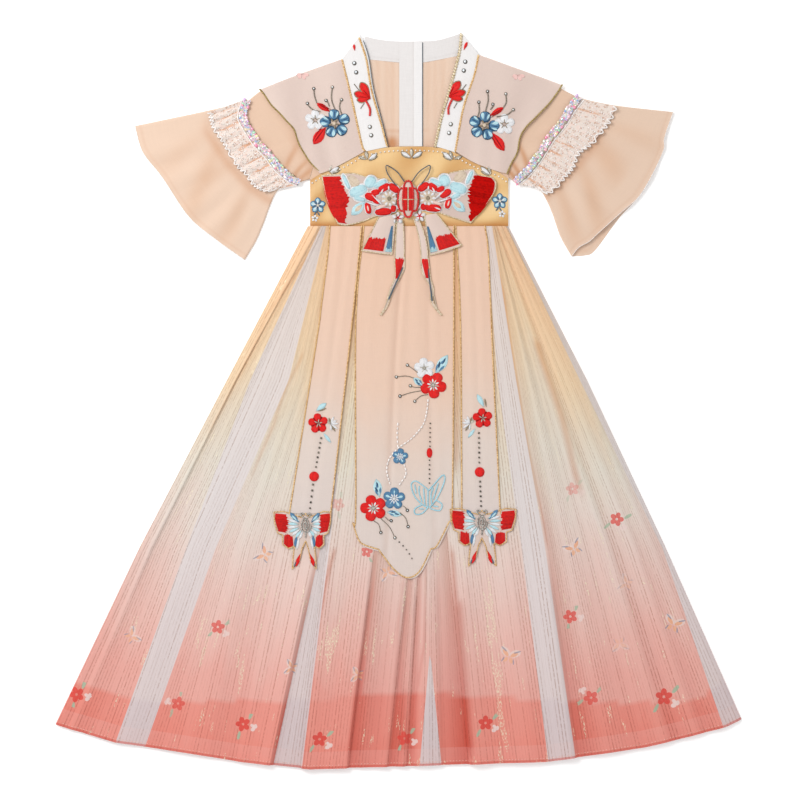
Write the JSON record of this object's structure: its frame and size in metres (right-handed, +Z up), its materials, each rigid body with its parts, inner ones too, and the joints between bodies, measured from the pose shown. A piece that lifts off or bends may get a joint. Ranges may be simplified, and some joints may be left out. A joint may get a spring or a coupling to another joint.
{
  "type": "child's hanfu dress",
  "caption": "Child's high-waisted hanfu dress laid flat, with cape collar, flared sleeves, satin waistband, embroidered bow and streamers, and a sheer dip-dyed pleated skirt.",
  "frame": {"origin": "centre of the dress's outline on the surface it lies on", "axes": "+X to the right of the dress as seen from above, +Y from hem to collar, +Z up, out of the dress's front"},
  "size_m": [0.932, 1, 0.0144],
  "materials": {
    "skirt_sheer": "sheer crinkled chiffon, dip-dyed from yellow to coral, with fine woven stripes",
    "lining": "matt plain lining",
    "gold_satin": "soft satin weave",
    "peach_chiffon": "matt sheer chiffon",
    "pink_organza": "matt sheer organza with a slight sheen",
    "white_cotton": "matt white cotton",
    "lace": "gathered machine lace",
    "beaded_braid": "small pearly sequins and beads in pink, blue and green",
    "embroidery": "satin-stitch embroidery with a silky sheen",
    "gold_cord": "dull gold metallic piping and thread",
    "rhinestone": "cut glass stones in silver settings"
  },
  "bodies": {
    "root": {"skirt_front": "skirt_sheer", "skirt_back": "skirt_sheer", "lining_front": "lining", "lining_back": "lining", "waistband_front": "gold_satin", "waistband_back": "gold_satin", "bodice_back": "peach_chiffon", "bodice_front_left": "peach_chiffon", "bodice_front_right": "peach_chiffon", "sleeve_upper_left": "peach_chiffon", "sleeve_upper_right": "peach_chiffon", "sleeve_flare_left": "peach_chiffon", "sleeve_flare_right": "peach_chiffon", "streamer_left": "peach_chiffon", "streamer_right": "peach_chiffon", "cape_front_left": "pink_organza", "cape_front_right": "pink_organza", "cape_back_left": "pink_organza", "cape_back_right": "pink_organza", "panel_centre": "pink_organza", "bow_wing_left": "pink_organza", "bow_wing_right": "pink_organza", "bow_tail_wide_left": "pink_organza", "bow_tail_wide_right": "pink_organza", "bow_tail_thin_left": "pink_organza", "bow_tail_thin_right": "pink_organza", "collar_left": "white_cotton", "collar_right": "white_cotton", "collar_back": "white_cotton", "zip_guard": "white_cotton", "lace_left": "lace", "lace_right": "lace", "braid_left": "beaded_braid", "braid_right": "beaded_braid", "bow_knot": "embroidery", "butterfly_left": "embroidery", "butterfly_right": "embroidery"}
  },
  "joints": []
}
